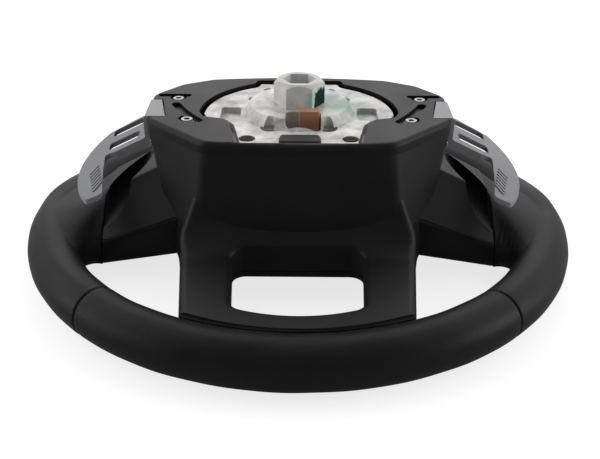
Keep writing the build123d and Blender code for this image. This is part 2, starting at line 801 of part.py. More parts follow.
# Left bracket, under the cover's back: a block with a pocket for the knuckle, two ears and two screw seats.
bracket_bottom = hub_height - bracket_depth
pocket_floor = hinge_z - knuckle_half - paddle_travel_room
screw_seat = hub_height - screw_seat_depth
ear_near = arm_near - knuckle_gap - 4
bracket_room = hub_form(wall + bracket_gap)
with BuildPart() as paddle_bracket_left:
    with BuildSketch(Plane.XY.offset(bracket_bottom)) as plan:
        with BuildLine():
            Polyline((near_screw[0] - 8.5, near_screw[1] - 9), (hinge_x - 7, near_screw[1] - 6),
                     (hinge_x + 1.5, ear_near + 1.5), (hub_side - wall - 1, ear_near + 8),
                     (hub_side - wall - 1, far_screw[1] + 6.5),
                     (far_screw[0] - 11, far_screw[1] + 8), (near_screw[0] - 5, 4), close=True)
        make_face()
        fillet(plan.vertices(), 2)
    extrude(amount=bracket_top - bracket_bottom)
    add(bracket_room, mode=Mode.INTERSECT)
    with Locations((hinge_x - knuckle_half - paddle_travel_room, knuckle_y, pocket_floor)):
        Box(hub_side, knuckle_width + 2 * knuckle_gap, bracket_depth,
            align=(Align.MIN, Align.CENTER, Align.MIN), mode=Mode.SUBTRACT)
    with Locations((hinge_x, knuckle_y, hinge_z)):
        Cylinder(pin_diameter / 2, 3 * knuckle_width, rotation=(90, 0, 0), mode=Mode.SUBTRACT)
    with Locations((*far_screw, screw_seat), (*near_screw, screw_seat)):
        Cylinder(screw_head_diameter / 2 + 0.8, bracket_depth, align=standing,
                 mode=Mode.SUBTRACT)
        Cylinder(screw_diameter / 2 + 0.2, 3 * bracket_depth, mode=Mode.SUBTRACT)
    with Locations((hinge_x + 1, switch_y, pocket_floor)):
        Box(7, 11, 4, align=hanging, mode=Mode.SUBTRACT)

with BuildPart() as paddle_pin_left:
    with Locations((hinge_x, knuckle_y + 2.5, hinge_z)):
        Cylinder(pin_diameter / 2, knuckle_width + 2 * knuckle_gap + 10, rotation=(90, 0, 0))
    chamfer(paddle_pin_left.edges(), 0.4)

# Return spring: a coil round the pin, with one leg down to the bracket.
with BuildPart() as paddle_spring_left:
    with BuildLine() as coil:
        Helix(pitch=spring_pitch, height=spring_turns * spring_pitch, radius=pin_diameter / 2 + 1.2,
              center=(hinge_x, spring_y - spring_turns * spring_pitch / 2, hinge_z), direction=(0, 1, 0))
    with BuildSketch(Plane(coil.line @ 0, z_dir=coil.line % 0)):
        Circle(spring_wire / 2)
    sweep()
    with Locations(coil.line @ 1):
        Cylinder(spring_wire / 2, hinge_z - pocket_floor, align=hanging)

with BuildPart() as paddle_switch_left:
    with Locations((hinge_x + 1, switch_y, pocket_floor - 4)):
        Box(6.6, 10.6, 4.2, align=standing)
        with Locations((1, 0, 4.2)):
            Cylinder(1, 0.4, align=standing)

with BuildPart() as paddle_screws:
    with Locations((*far_screw, screw_seat), (*near_screw, screw_seat),
                   (-far_screw[0], far_screw[1], screw_seat), (-near_screw[0], near_screw[1], screw_seat)):
        Cylinder(screw_head_diameter / 2, 0.9, align=standing)
        Cylinder(screw_head_diameter / 2 - 1.2, screw_head_height, align=standing)
        Cylinder(screw_diameter / 2, bracket_depth - screw_seat_depth + 8, align=hanging)
        with Locations((0, 0, screw_head_height)):
            Cylinder(2, 1.8, align=hanging, mode=Mode.SUBTRACT)

# Connector and control module in the frame's slots.
connector_seat = connector_place[1] + (slot_width - connector_width) / 2 - 0.8
with BuildPart() as harness_connector:
    with BuildSketch(Plane.XY.offset(web_bottom)):
        with Locations((connector_place[0] + (slot_length - connector_length) / 2 - 0.8, connector_seat)):
            RectangleRounded(connector_length, connector_width, 1.5)
    extrude(amount=plate_top + pad_height + 3 - web_bottom)
with BuildPart() as control_module:
    with BuildSketch(Plane.XY.offset(web_bottom)):
        with Locations(module_place):
            RectangleRounded(module_length + 1.4, module_width, 3)
    extrude(amount=plate_top + 2 - web_bottom)
    fillet(control_module.faces().sort_by(Axis.Z)[-1].edges(), 1.5)

# Airbag: moulded cover, folded cushion, tray with three guide pins, inflator and its nuts.
pad_depth = tray_bottom - pad_front_height
tray_top = tray_bottom + tray_thickness
spring_seat = web_bottom - horn_spring_length
with BuildPart() as airbag_cover:
    extrude(pad_outline(pad_front_height, pad_gap), amount=pad_depth)
    fillet(airbag_cover.faces().sort_by(Axis.Z)[0].edges(), 5)
    cover_hollow = pad_outline(pad_front_height + pad_wall, pad_gap + pad_wall)
    extrude(cover_hollow, amount=pad_depth, mode=Mode.SUBTRACT)
with BuildPart() as airbag_cushion:
    cushion_outline = pad_outline(pad_front_height + pad_wall + 0.3, pad_gap + pad_wall + 1)
    extrude(cushion_outline, amount=pad_depth - pad_wall - 4)
    fillet(airbag_cushion.edges().filter_by(GeomType.LINE, reverse=True).group_by(Axis.Z)[-1], 3)
with BuildPart() as airbag_tray:
    extrude(pad_outline(tray_bottom, pad_gap), amount=tray_thickness)
    with Locations(*[(x, y, tray_bottom) for x, y in guide_pins]):
        Cylinder(guide_pin_diameter / 2 + 5, spring_seat - tray_bottom, align=standing)
        Cylinder(guide_pin_diameter / 2, plate_top - tray_bottom, align=standing)
    with Locations((0, 0, tray_bottom)):
        Cylinder(inflator_radius + 0.3, hub_height, mode=Mode.SUBTRACT)
        with PolarLocations(inflator_radius + 5, 4, 45):
            Cylinder(2.8, hub_height, mode=Mode.SUBTRACT)
with BuildPart() as inflator:
    with Locations((0, 0, tray_bottom)):
        Cylinder(inflator_radius + 9, 2, align=hanging)
        Cylinder(inflator_radius, inflator_height, align=standing)
    fillet(inflator.faces().sort_by(Axis.Z)[-1].edges(), 6)
    with Locations((0, 0, tray_bottom)):
        with PolarLocations(inflator_radius + 5, 4, 45):
            Cylinder(2.5, 9, align=standing)
with BuildPart() as inflator_nuts:
    with BuildSketch(Plane.XY.offset(tray_top)):
        with PolarLocations(inflator_radius + 5, 4, 45):
            RegularPolygon(4, 6, major_radius=False)
            Circle(2.5, mode=Mode.SUBTRACT)
    extrude(amount=4)

coil_height = horn_spring_length - horn_spring_wire
coil_radius = guide_pin_diameter / 2 + guide_hole_clearance + horn_spring_wire / 2 + 0.6
with BuildPart() as horn_springs:
    for x, y in guide_pins:
        with BuildLine(Plane(origin=(x, y, spring_seat + horn_spring_wire / 2))) as turns:
            Helix(pitch=coil_height / 3.5, height=coil_height, radius=coil_radius)
        with BuildSketch(Plane(turns.line @ 0, z_dir=turns.line % 0)):
            Circle(horn_spring_wire / 2)
        sweep(path=turns.line)

# Left switch pack: panel, case, board, one rocker and three push buttons.
rocker_spot = (switch_inner + 13, (switch_near + switch_far) / 2 - 1)
button_spots = [(switch_outer - 12, rocker_spot[1] + row * 16) for row in (1, 0, -1)]
with BuildPart() as switch_panel_left:
    extrude(switch_outline(front_height, switch_gap), amount=wall)
    with BuildSketch(Plane.XY.offset(front_height)):
        with Locations(rocker_spot):
            RectangleRounded(rocker_width + 2 * switch_gap, rocker_length + 4 * switch_gap, 3)
        with Locations(*button_spots):
            RectangleRounded(button_width + 2 * switch_gap, button_length + 2 * switch_gap, 3)
    extrude(amount=wall, mode=Mode.SUBTRACT)
case_front = front_height + wall
case_back = case_front + switch_depth
with BuildPart() as switch_case_left:
    extrude(switch_outline(case_front, switch_gap), amount=switch_depth)
    case_hollow = switch_outline(case_front, switch_gap + switch_wall)
    extrude(case_hollow, amount=switch_depth - switch_wall, mode=Mode.SUBTRACT)
board_face = case_back - switch_wall - board_thickness
with BuildPart() as switch_board_left:
    extrude(switch_outline(board_face, switch_gap + switch_wall + 0.3), amount=board_thickness)
with BuildPart() as rocker_left:
    with BuildSketch(Plane.XY.offset(front_height - button_proud)):
        with Locations(rocker_spot):
            RectangleRounded(rocker_width, rocker_length, 3)
    extrude(amount=button_proud + wall + 4)
    fillet(rocker_left.faces().sort_by(Axis.Z)[0].edges(), 0.8)
    with Locations((*rocker_spot, front_height + wall + 2.5)):
        Cylinder(1.5, rocker_width + 3, rotation=(0, 90, 0))


def push_button(spot):
    with BuildPart() as button:
        with BuildSketch(Plane.XY.offset(front_height - button_proud)):
            with Locations(spot):
                RectangleRounded(button_width, button_length, 3)
        extrude(amount=button_proud + wall + 1)
        fillet(button.faces().sort_by(Axis.Z)[0].edges(), 0.8)
        with BuildSketch(Plane.XY.offset(case_front + 0.3)):
            with Locations(spot):
                RectangleRounded(button_width + 2, button_length + 2, 3.5)
        extrude(amount=1.5)
        with Locations((*spot, case_front + 1)):
            Cylinder(3, board_face - case_front - 1 - button_travel - 0.3, align=standing)
    return button


buttons_left = {place: push_button(spot) for place, spot in zip(("upper", "middle", "lower"), button_spots)}

pieces = {
    "armature": armature, "hub_insert": hub_insert, "rim_foam": rim_foam,
    "leather_upper": leather_upper, "leather_lower": leather_lower,
    "back_cover": back_cover, "front_bezel": front_bezel,
    "harness_connector": harness_connector, "control_module": control_module, "paddle_screws": paddle_screws,
    "airbag_cover": airbag_cover, "airbag_cushion": airbag_cushion, "airbag_tray": airbag_tray,
    "inflator": inflator, "inflator_nuts": inflator_nuts, "horn_springs": horn_springs,
}
left_pieces = {
    "leather": leather_left, "paddle": paddle_left, "paddle_bracket": paddle_bracket_left,
    "paddle_pin": paddle_pin_left, "paddle_spring": paddle_spring_left, "paddle_switch": paddle_switch_left,
    "switch_panel": switch_panel_left, "switch_case": switch_case_left, "switch_board": switch_board_left,
    "rocker": rocker_left, **{f"button_{place}": button for place, button in buttons_left.items()},
}
for name, left in left_pieces.items():
    with BuildPart() as right:
        mirror(left.part, about=Plane.YZ)
    pieces[f"{name}_left"] = left
    pieces[f"{name}_right"] = right

for name, piece in pieces.items():
    piece.part.label = name
    export_step(piece.part, f"parts/{name}.step")
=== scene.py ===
import bpy
import numpy as np
from mathutils import Matrix, Vector


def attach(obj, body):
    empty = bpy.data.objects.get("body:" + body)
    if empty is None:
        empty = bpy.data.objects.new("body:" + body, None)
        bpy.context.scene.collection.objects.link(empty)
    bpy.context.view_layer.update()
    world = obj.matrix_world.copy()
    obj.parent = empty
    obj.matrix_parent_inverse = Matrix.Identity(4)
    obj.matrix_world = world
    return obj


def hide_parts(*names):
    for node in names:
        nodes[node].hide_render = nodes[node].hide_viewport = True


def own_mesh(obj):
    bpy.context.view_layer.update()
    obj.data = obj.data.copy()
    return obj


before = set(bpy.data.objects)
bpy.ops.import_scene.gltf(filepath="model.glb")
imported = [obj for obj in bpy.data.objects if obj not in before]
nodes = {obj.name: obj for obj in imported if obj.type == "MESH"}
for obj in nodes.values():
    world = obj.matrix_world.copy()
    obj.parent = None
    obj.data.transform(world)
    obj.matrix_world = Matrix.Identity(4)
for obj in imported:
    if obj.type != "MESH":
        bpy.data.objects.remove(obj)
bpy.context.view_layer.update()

print("frame loaded:", len(nodes), "nodes")


# A finish starts as one shader with its constants on its own sockets.
def startFinish(name, look):
    mat = bpy.data.materials.new(name)
    mat.use_nodes = True
    tree = mat.node_tree
    shader = tree.nodes["Principled BSDF"]
    shader.inputs["Base Color"].default_value = (*look["dark"], 1)
    shader.inputs["Roughness"].default_value = look["rough"][0]
    shader.inputs["Metallic"].default_value = look.get("metal", 0.0)
    shader.inputs["Specular IOR Level"].default_value = look.get("gloss", 0.5)
    spot = tree.nodes.new("ShaderNodeTexCoord").outputs["Object"]
    return mat, tree, shader, spot


def cloudy(tree, spot, scale, detail, rough=0.5):
    node = tree.nodes.new("ShaderNodeTexNoise")
    node.inputs["Scale"].default_value = scale
    node.inputs["Detail"].default_value = detail
    node.inputs["Roughness"].default_value = rough
    tree.links.new(spot, node.inputs["Vector"])
    return node.outputs["Fac"]


def pebbles(tree, spot, scale, roundness):
    node = tree.nodes.new("ShaderNodeTexVoronoi")
    node.feature = "SMOOTH_F1"
    node.inputs["Scale"].default_value = scale
    node.inputs["Smoothness"].default_value = roundness
    tree.links.new(spot, node.inputs["Vector"])
    return node.outputs["Distance"]


def spread(tree, value, low, high, outLow, outHigh, kind="LINEAR"):
    node = tree.nodes.new("ShaderNodeMapRange")
    node.interpolation_type = kind
    ends = {"From Min": low, "From Max": high, "To Min": outLow, "To Max": outHigh}
    for socket, number in ends.items():
        node.inputs[socket].default_value = number
    tree.links.new(value, node.inputs["Value"])
    return node.outputs["Result"]


def shades(tree, value, places, colours):
    node = tree.nodes.new("ShaderNodeValToRGB")
    for element, place, colour in zip(node.color_ramp.elements, places, colours):  # a new ramp has two stops
        element.position = place
        element.color = (*colour, 1)
    tree.links.new(value, node.inputs["Fac"])
    return node.outputs["Color"]


def combine(tree, operation, first, second):
    node = tree.nodes.new("ShaderNodeMath")
    node.operation = operation
    tree.links.new(first, node.inputs[0])
    tree.links.new(second, node.inputs[1])
    return node.outputs[0]


def washOver(tree, under, cover, amount):
    node = tree.nodes.new("ShaderNodeMix")
    node.data_type = "RGBA"
    tree.links.new(amount, node.inputs[0])
    tree.links.new(under, node.inputs[6])  # the colour sockets come after the plain and vector ones
    node.inputs[7].default_value = (*cover, 1)
    return node.outputs[2]


def raised(tree, shader, height, depth, strength, under=None):
    node = tree.nodes.new("ShaderNodeBump")
    node.inputs["Distance"].default_value = depth
    node.inputs["Strength"].default_value = strength
    tree.links.new(height, node.inputs["Height"])
    if under is not None:
        tree.links.new(under, node.inputs["Normal"])
    tree.links.new(node.outputs["Normal"], shader.inputs["Normal"])
    return node.outputs["Normal"]


# Soft clouds between two shades, and a roughness that follows them.
def cloudedFinish(name, look):
    mat, tree, shader, spot = startFinish(name, look)
    soft = cloudy(tree, spot, look["cloud"], look["cloudDetail"], look["cloudRough"])
    colour = shades(tree, soft, look["shadeStops"], (look["dark"], look["light"]))
    tree.links.new(colour, shader.inputs["Base Color"])
    rough = spread(tree, soft, *look["roughStops"], *look["rough"])
    tree.links.new(rough, shader.inputs["Roughness"])
    return mat, tree, shader, spot, colour


# What a moulded or cast finish has unless its own look says otherwise.
mouldedLook = {
    "cloud": 22, "cloudDetail": 5, "cloudRough": 0.6, "shadeStops": (0.3, 0.72), "roughStops": (0.3, 0.7),
    "grain": 1900, "grainDetail": 2, "depth": 0.00006, "strength": 0.6,
}


# Moulded or cast: clouded, with a fine raised grain.
def mouldedFinish(name, ownLook):
    look = {**mouldedLook, **ownLook}
    mat, tree, shader, spot, colour = cloudedFinish(name, look)
    grain = cloudy(tree, spot, look["grain"], look["grainDetail"])
    raised(tree, shader, grain, look["depth"], look["strength"])
    return mat, tree, shader, spot, colour


pebbledLook = {
    "cloudDetail": 4, "cloudRough": 0.55, "shadeStops": (0.3, 0.72), "roughStops": (0.32, 0.68),
    "cellRound": 0.4, "cellStrength": 0.5,
    "poreScale": 3.1, "poreDetail": 2, "poreDepth": 0.4, "poreStrength": 0.4,
}


# Pebbled hide: rounded cells of about a millimetre over finer pores, with smoother, shinier worn areas.
def hideFinish(name, ownLook):
    look = {**pebbledLook, **ownLook}
    mat, tree, shader, spot = cloudedFinish(name, look)[:4]
    cells = pebbles(tree, spot, look["grain"], look["cellRound"])
    pores = cloudy(tree, spot, look["grain"] * look["poreScale"], look["poreDetail"])
    relief = raised(tree, shader, cells, look["depth"], look["cellStrength"])
    raised(tree, shader, pores, look["depth"] * look["poreDepth"], look["poreStrength"], relief)
    return mat


finishLooks = {
    "cover_black": dict(dark=(0.0065, 0.0065, 0.0068), light=(0.0100, 0.0100, 0.0104),
                        rough=(0.38, 0.48), gloss=0.12),
    "bezel_black": dict(dark=(0.0045, 0.0045, 0.0048), light=(0.0070, 0.0070, 0.0073),
                        rough=(0.38, 0.46), gloss=0.16),
    "paddle_grey": dict(dark=(0.165, 0.165, 0.172), light=(0.205, 0.205, 0.213),
                        rough=(0.30, 0.40), gloss=0.32),
    "bracket_black": dict(dark=(0.011, 0.011, 0.011), light=(0.016, 0.016, 0.016),
                          rough=(0.45, 0.55), gloss=0.3),
    "screw_zinc": dict(dark=(0.20, 0.20, 0.20), light=(0.36, 0.36, 0.36),
                       rough=(0.22, 0.34), metal=1.0, cloud=260),
    "spring_steel": dict(dark=(0.42, 0.42, 0.42), light=(0.56, 0.56, 0.57),
                         rough=(0.22, 0.34), metal=1.0, cloud=300),
    "inflator_steel": dict(dark=(0.40, 0.40, 0.41), light=(0.52, 0.52, 0.52),
                           rough=(0.30, 0.45), metal=1.0, cloud=60),
    "connector_brown": dict(dark=(0.36, 0.165, 0.092), light=(0.47, 0.225, 0.125),
                            rough=(0.38, 0.48), gloss=0.45),
    "module_grey": dict(dark=(0.018, 0.018, 0.019), light=(0.026, 0.026, 0.027),
                        rough=(0.40, 0.50), gloss=0.1),
    "tray_black": dict(dark=(0.008, 0.008, 0.009), light=(0.013, 0.013, 0.013),
                       rough=(0.50, 0.65), gloss=0.06),
    "panel_gloss": dict(dark=(0.006, 0.006, 0.007), light=(0.008, 0.008, 0.009),
                        rough=(0.12, 0.20), gloss=0.5, depth=0.00001),
    "switch_satin": dict(dark=(0.020, 0.020, 0.021), light=(0.028, 0.028, 0.029),
                         rough=(0.36, 0.46), gloss=0.4),
    "case_black": dict(dark=(0.012, 0.012, 0.012), light=(0.018, 0.018, 0.018),
                       rough=(0.42, 0.52), gloss=0.35),
    "rim_foam": dict(dark=(0.030, 0.030, 0.031), light=(0.048, 0.048, 0.049),
                     rough=(0.80, 0.95), gloss=0.2, grain=700, depth=0.0003),
    "bag_nylon": dict(dark=(0.52, 0.52, 0.50), light=(0.60, 0.60, 0.58),
                      rough=(0.75, 0.85), gloss=0.2, grain=1500, depth=0.0002),
    "sewing_thread": dict(dark=(0.012, 0.012, 0.012), light=(0.024, 0.024, 0.024),
                          rough=(0.6, 0.75), gloss=0.3, cloud=900, grain=4200),
}
hideLooks = {
    "rim_leather": dict(dark=(0.0062, 0.0062, 0.0065), light=(0.0095, 0.0095, 0.0099),
                        rough=(0.40, 0.52), gloss=0.11, cloud=26, grain=850, depth=0.00012),
    "pad_grain": dict(dark=(0.013, 0.013, 0.014), light=(0.018, 0.018, 0.019),
                      rough=(0.50, 0.60), gloss=0.3, cloud=18, grain=620, depth=0.00016),
}
finishes = {name: mouldedFinish(name, look)[0] for name, look in finishLooks.items()}
finishes |= {name: hideFinish(name, look) for name, look in hideLooks.items()}

castLook = {
    "dark": (0.27, 0.265, 0.245), "light": (0.82, 0.81, 0.77), "rough": (0.42, 0.66),
    "gloss": 0.4, "metal": 0.1, "cloud": 75, "grain": 620, "depth": 0.00028,
    "wash": (0.17, 0.30, 0.26), "washPlace": (0.027, 0.002, 0.101), "washReach": (0.008, 0.032),
    "washMost": 0.85, "patch": 60, "patchDetail": 4, "patchStops": (0.35, 0.6), "patchLeast": 0.2,
}


# The cast plate is mottled, and a thin green wash fades out round one place beside the boss.
def castFinish():
    mat, tree, shader, spot, colour = mouldedFinish("cast_plate", castLook)
    away = tree.nodes.new("ShaderNodeVectorMath")
    away.operation = "DISTANCE"
    tree.links.new(spot, away.inputs[0])
    away.inputs[1].default_value = castLook["washPlace"]
    reach = away.outputs["Value"]
    near = spread(tree, reach, *castLook["washReach"], castLook["washMost"], 0.0, "SMOOTHSTEP")
    patches = cloudy(tree, spot, castLook["patch"], castLook["patchDetail"])
    patchy = spread(tree, patches, *castLook["patchStops"], castLook["patchLeast"], 1.0)
    washed = washOver(tree, colour, castLook["wash"], combine(tree, "MULTIPLY", near, patchy))
    tree.links.new(washed, shader.inputs["Base Color"])
    return mat


bossLook = {
    "dark": (0.52, 0.51, 0.495), "light": (0.68, 0.675, 0.655), "rough": (0.45, 0.60),
    "gloss": 0.08, "metal": 0.0, "cloud": 110, "grain": 700, "depth": 0.0002,
    "wash": (0.36, 0.54, 0.48), "washSide": (0.0035, 0.0060), "washMost": 0.9,
    "paint": (0.001, 0.016, 0.011), "paintSide": (0.0100, 0.0112), "paintTop": (0.1205, 0.1225),
    "ragged": 240, "raggedDetail": 4, "raggedStops": (0.3, 0.7), "raggedReach": 0.0016,
}


# The boss has a pale wash to one side of its middle and dark paint on the face beyond it, below the top.
# Their edges wander by the ragged reach.
def bossFinish():
    mat, tree, shader, spot, colour = mouldedFinish("cast_boss", bossLook)
    parts = tree.nodes.new("ShaderNodeSeparateXYZ")
    tree.links.new(spot, parts.inputs[0])
    reach = bossLook["raggedReach"]
    specks = cloudy(tree, spot, bossLook["ragged"], bossLook["raggedDetail"])
    ragged = spread(tree, specks, *bossLook["raggedStops"], -reach, reach)
    side = combine(tree, "ADD", parts.outputs["X"], ragged)
    height = combine(tree, "ADD", parts.outputs["Z"], ragged)
    below = spread(tree, height, *bossLook["paintTop"], 1.0, 0.0)
    pale = spread(tree, side, *bossLook["washSide"], 0.0, bossLook["washMost"], "SMOOTHSTEP")
    washed = washOver(tree, colour, bossLook["wash"], combine(tree, "MULTIPLY", pale, below))
    dark = spread(tree, side, *bossLook["paintSide"], 0.0, 1.0, "SMOOTHSTEP")
    painted = washOver(tree, washed, bossLook["paint"], combine(tree, "MULTIPLY", dark, below))
    tree.links.new(painted, shader.inputs["Base Color"])
    return mat


boardLook = {
    "dark": (0.010, 0.075, 0.030), "light": (0.016, 0.110, 0.045), "rough": (0.25, 0.35), "gloss": 0.5,
    "copper": (0.05, 0.16, 0.05), "pitch": 260, "trackWidth": 0.06,
}


# The board has green lacquer over a faint grid of copper tracks.
def boardFinish():
    mat, tree, shader, spot, colour = mouldedFinish("board_green", boardLook)
    tracks = tree.nodes.new("ShaderNodeTexBrick")
    tracks.inputs["Scale"].default_value = boardLook["pitch"]
    tracks.inputs["Mortar Size"].default_value = boardLook["trackWidth"]
    tree.links.new(spot, tracks.inputs["Vector"])
    tracked = washOver(tree, colour, boardLook["copper"], tracks.outputs["Fac"])
    tree.links.new(tracked, shader.inputs["Base Color"])
    return mat


finishes["cast_plate"] = castFinish()
finishes["cast_boss"] = bossFinish()
finishes["board_green"] = boardFinish()

# A node with no row of its own wears its kind's finish: the name without the side at its end.
wearing = {
    "armature": "cast_plate", "hub_insert": "cast_boss", "rim_foam": "rim_foam",
    "back_cover": "cover_black", "front_bezel": "bezel_black", "paddle_screws": "screw_zinc",
    "harness_connector": "connector_brown", "control_module": "module_grey",
    "airbag_cover": "pad_grain", "airbag_cushion": "bag_nylon", "airbag_tray": "tray_black",
    "inflator": "inflator_steel", "inflator_nuts": "screw_zinc", "horn_springs": "spring_steel",
    "leather": "rim_leather", "paddle": "paddle_grey", "paddle_bracket": "bracket_black",
    "paddle_pin": "spring_steel", "paddle_spring": "spring_steel", "paddle_switch": "case_black",
    "switch_panel": "panel_gloss", "switch_case": "case_black", "switch_board": "board_green",
    "rocker": "switch_satin", "button_upper": "switch_satin", "button_middle": "switch_satin",
    "button_lower": "switch_satin",
}
for name, node in nodes.items():
    kind = name
    for ending in ("_left", "_right", "_upper", "_lower"):
        if kind not in wearing:
            kind = name.removesuffix(ending)
    node.data.materials.clear()
    node.data.materials.append(finishes[wearing[kind]])
print("finishes set on the carried-over nodes")


eighthTurn = np.pi / 4
fullTurn = 2 * np.pi
rimLook = {
    "ring": 0.1755, "grip": 0.0170, "upperGrip": 0.0147, "slimFrom": 0.12, "slimTo": 0.56,
    "wall": 0.0018, "seamGap": 0.0003, "foldWidth": 0.0014, "foldDepth": 0.0015,
    "seamRound": np.radians(192), "seamDepth": 0.0006, "seamWidth": 0.0009,
    "gathers": 26, "gatherDepth": 0.00012, "gatherReach": 0.006,
    "longWaves": 17, "shortWaves": 31, "waveDepth": 0.00007, "shift": 1.7,
    "rows": 240, "sides": 96, "endRows": 12, "endRun": 0.003, "innerStep": 6,
}


# An ease from 0 to 1: three times the square less twice the cube.
def smooth(value):
    value = np.clip(value, 0, 1)
    return value * value * (3 - 2 * value)


# Grip radius at an angle round the wheel: full below and at the sides, eased to the slim upper rim.
def gripAt(turn):
    share = np.arcsin(np.sin(turn)) / eighthTurn
    slim = smooth((share - rimLook["slimFrom"]) / (rimLook["slimTo"] - rimLook["slimFrom"]))
    return rimLook["grip"] + (rimLook["upperGrip"] - rimLook["grip"]) * slim


# A point of the rim: out from the ring's middle line by the grip less a drop, at an angle round the tube.
def rimPoint(turn, around, drop=0.0):
    grip = gripAt(turn)
    out = rimLook["ring"] + (grip - drop) * np.cos(around)
    height = grip + (grip - drop) * np.sin(around)
    return np.stack([out * np.cos(turn), out * np.sin(turn), height], axis=-1)


# Four-sided faces of a grid whose rows close on themselves: each row is joined to the next, as often as asked.
# As many joins as rows also bring the last row back to the first.
def gridFaces(rows, columns, joins):
    down, across = np.meshgrid(np.arange(joins), np.arange(columns), indexing="ij")
    nextDown, nextAcross = (down + 1) % rows, (across + 1) % columns
    corners = [down * columns + across, nextDown * columns + across,
               nextDown * columns + nextAcross, down * columns + nextAcross]
    return np.stack(corners, axis=-1).reshape(-1, 4)


# Tubes, each a row of rings: every ring is joined to the next, and the first and last are filled.
def tubeFaces(count, places, sides):
    first = np.arange(count) * places * sides
    quads = (first[:, None, None] + gridFaces(places, sides, places - 1)).reshape(-1, 4)
    firstCap = first[:, None] + np.arange(sides)
    lastCap = first[:, None] + np.arange(sides)[::-1] + (places - 1) * sides
    return quads.tolist() + firstCap.tolist() + lastCap.tolist()


# Every new piece is one smooth mesh that rides on the wheel.
def makePiece(name, points, faces, finish, replaced=None):
    mesh = bpy.data.meshes.new(name)
    mesh.from_pydata(points.reshape(-1, 3).tolist(), [], faces)
    mesh.polygons.foreach_set("use_smooth", np.ones(len(mesh.polygons), dtype=bool))
    mesh.materials.append(finishes[finish])
    mesh.update()
    piece = bpy.data.objects.new(name, mesh)
    bpy.context.scene.collection.objects.link(piece)
    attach(piece, "wheel")
    if replaced:
        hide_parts(replaced)
    return piece


# How far the hide turns in at a sewn end: a quarter round over the fold's width.
def foldAt(distance):
    left = 1 - np.clip(distance / rimLook["foldWidth"], 0, 1)
    return rimLook["foldDepth"] * (1 - np.sqrt(np.maximum(1 - left * left, 0)))


# A wrap: the outer hide from seam to seam, then its inner wall back again, closed at both seams.
# The hide gathers a little beside a seam, sinks along the sewn line on the inside, and is never quite even.
def wrapGrid(start, end, shift):
    length = (end - start) * rimLook["ring"] - rimLook["seamGap"]
    near = np.linspace(0, rimLook["endRun"], rimLook["endRows"])
    plain = np.linspace(rimLook["endRun"], length - rimLook["endRun"], rimLook["rows"])
    along = np.concatenate([near[:-1], plain, length - near[::-1][1:]])
    around = np.linspace(0, fullTurn, rimLook["sides"], endpoint=False)
    turn = start + (along + rimLook["seamGap"] / 2) / rimLook["ring"]
    turns, rounds = np.meshgrid(turn, around, indexing="ij")
    toSeam = np.minimum(along, length - along)[:, None]
    sewn = (rounds - rimLook["seamRound"]) * rimLook["grip"] / rimLook["seamWidth"]
    pleats = 1 + np.sin(rounds * rimLook["gathers"] + shift)
    gathers = rimLook["gatherDepth"] * pleats * np.exp(-toSeam / rimLook["gatherReach"])
    shortWaves = np.sin(turns * rimLook["shortWaves"] + 2 * np.sin(rounds + shift))
    longWaves = np.sin(turns * rimLook["longWaves"] - rounds * 2)
    uneven = rimLook["waveDepth"] * (2 + shortWaves + longWaves)
    drop = foldAt(toSeam) + gathers + uneven + rimLook["seamDepth"] * np.exp(-sewn * sewn)
    outer = rimPoint(turns, rounds, drop)
    back = slice(None, None, -rimLook["innerStep"])
    return np.concatenate([outer, rimPoint(turns[back], rounds[back], rimLook["wall"])])


# The outlines and their hearts are in millimetres, across the spoke and up from the floor.
flareLook = {
    "edge": 0.1343, "middle": 0.150,
    "edgeShape": ((-17, 50), (24, 50), (40, 27), (42, 9), (-54, 9), (-49, 26)),
    "middleShape": ((-25, 37), (24, 37), (38, 22), (41, 7), (-60, 7), (-57, 21)),
    "edgeHeart": (-6, 29), "middleHeart": (-8, 20), "cornering": 16,
    "footMiddle": -0.0115, "footReach": 0.0640, "footTop": np.radians(84), "nudge": 0.01,
    "lead": 1.5, "landing": 0.5, "sink": 0.00028, "sinkFrom": 0.55,
    "turns": 220, "steps": 56, "crowding": 1.25, "innerStep": 4, "shift": 2.1,
    "crease": (0.1435, -0.0485, 0.0265), "creaseReach": 0.0085, "creasePitch": 0.0034,
    "creaseLean": (0.85, 0.5), "creaseBends": 420, "creaseBend": 1.3, "creaseRise": 0.6, "creaseSink": 0.4,
    "creaseDepth": {1: 0.00045, -1: 0.00008},
}


# Distance from a point inside a convex outline to its edge, by direction; the power rounds its corners.
def outline(shape, heart, direction):
    corners = np.array(shape, float)
    sides = np.roll(corners, -1, axis=0) - corners
    normals = np.stack([sides[:, 1], -sides[:, 0]], axis=1)
    normals /= np.linalg.norm(normals, axis=1, keepdims=True)
    depth = np.sum(normals * (corners - heart), axis=1)
    normals, depth = normals * np.sign(depth)[:, None], np.abs(depth)
    facing = np.maximum(direction @ normals.T, 0) / depth
    power = flareLook["cornering"]
    return np.sum(facing ** power, axis=1) ** (-1 / power)


# A loop round an outline that stands square to the spoke, at one distance from the wheel's middle.
def flareLoop(shape, heart, away, angle):
    heart = np.array(heart, float)
    direction = np.stack([np.cos(angle), np.sin(angle)], axis=1)
    plane = heart + direction * outline(shape, heart, direction)[:, None]
    return np.column_stack([np.full(len(angle), away), plane / 1000])  # millimetres to metres


# Where the flare lands on the rim: an oval on the tube's inner side, larger as the reach grows.
def flareFoot(angle, reach):
    turn = (flareLook["footMiddle"] + reach * flareLook["footReach"] * np.cos(angle)) / rimLook["ring"]
    return rimPoint(turn, np.pi - reach * flareLook["footTop"] * np.sin(angle))


